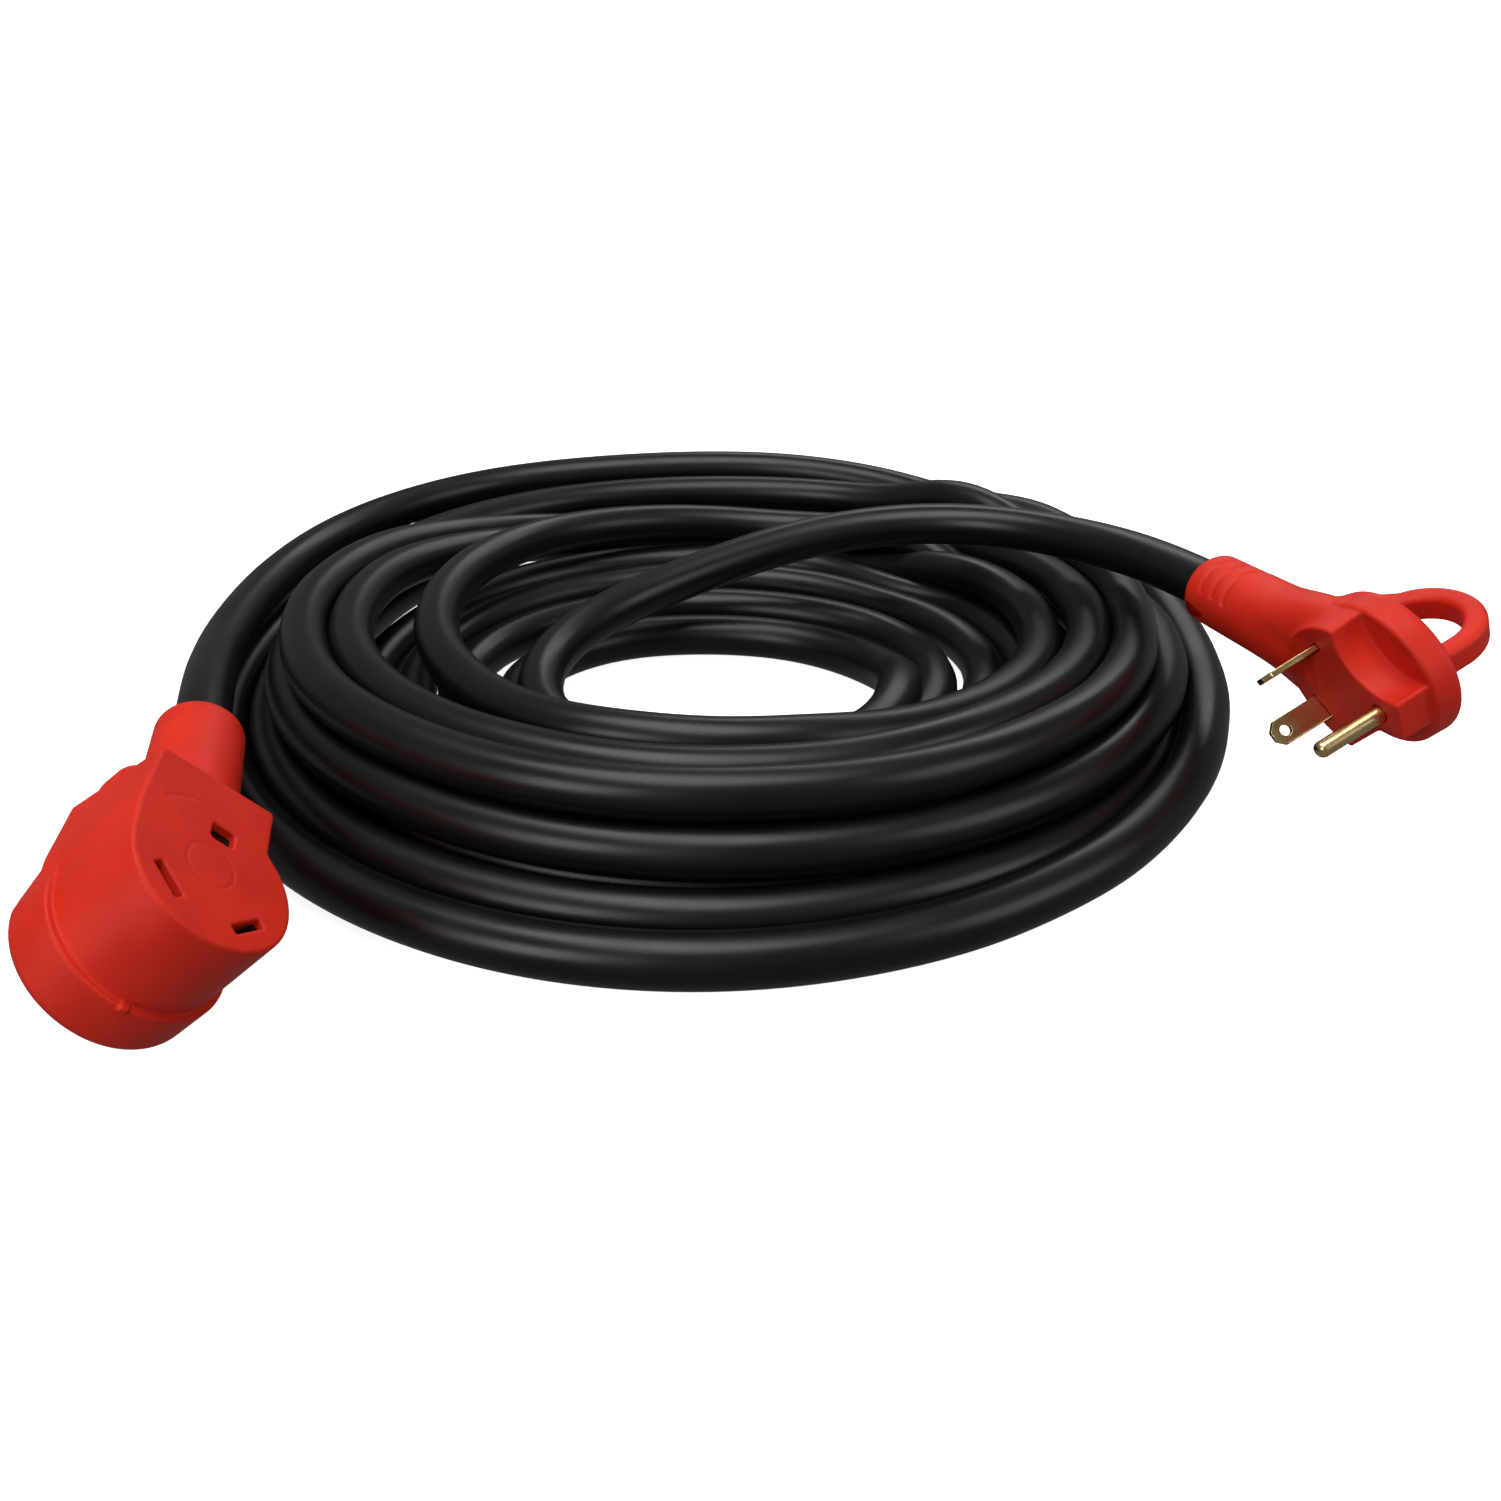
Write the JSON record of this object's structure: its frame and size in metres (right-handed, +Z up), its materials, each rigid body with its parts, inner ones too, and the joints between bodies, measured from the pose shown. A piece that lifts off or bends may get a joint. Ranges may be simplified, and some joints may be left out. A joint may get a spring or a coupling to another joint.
{
  "type": "shore power cord",
  "caption": "Coiled round-jacket shore power extension cord with a red angled female connector and a red plug that has flat blades, a round ground pin and a pull handle.",
  "frame": {"origin": "on the floor below the middle of the whole part's box", "axes": "+Z up, +X to the right and +Y away from a viewer who sees the connector at the front left and the plug at the right"},
  "size_m": [0.4026, 0.3974, 0.0781],
  "materials": {
    "red": "satin moulded vinyl",
    "black": "satin extruded jacket",
    "brass": "drawn and stamped",
    "insert": "matt moulded"
  },
  "bodies": {
    "root": {"connector_body": "red", "connector_carrier": "insert", "connector_contact_line": "brass", "connector_contact_neutral": "brass", "connector_contact_ground": "brass", "plug_body": "red", "plug_bridge": "insert", "plug_blade_line": "brass", "plug_blade_neutral": "brass", "plug_pin_ground": "brass", "cord_coil": "black", "cord_coil_inner": "black", "cord_lead": "black", "cord_tail": "black"}
  },
  "joints": []
}
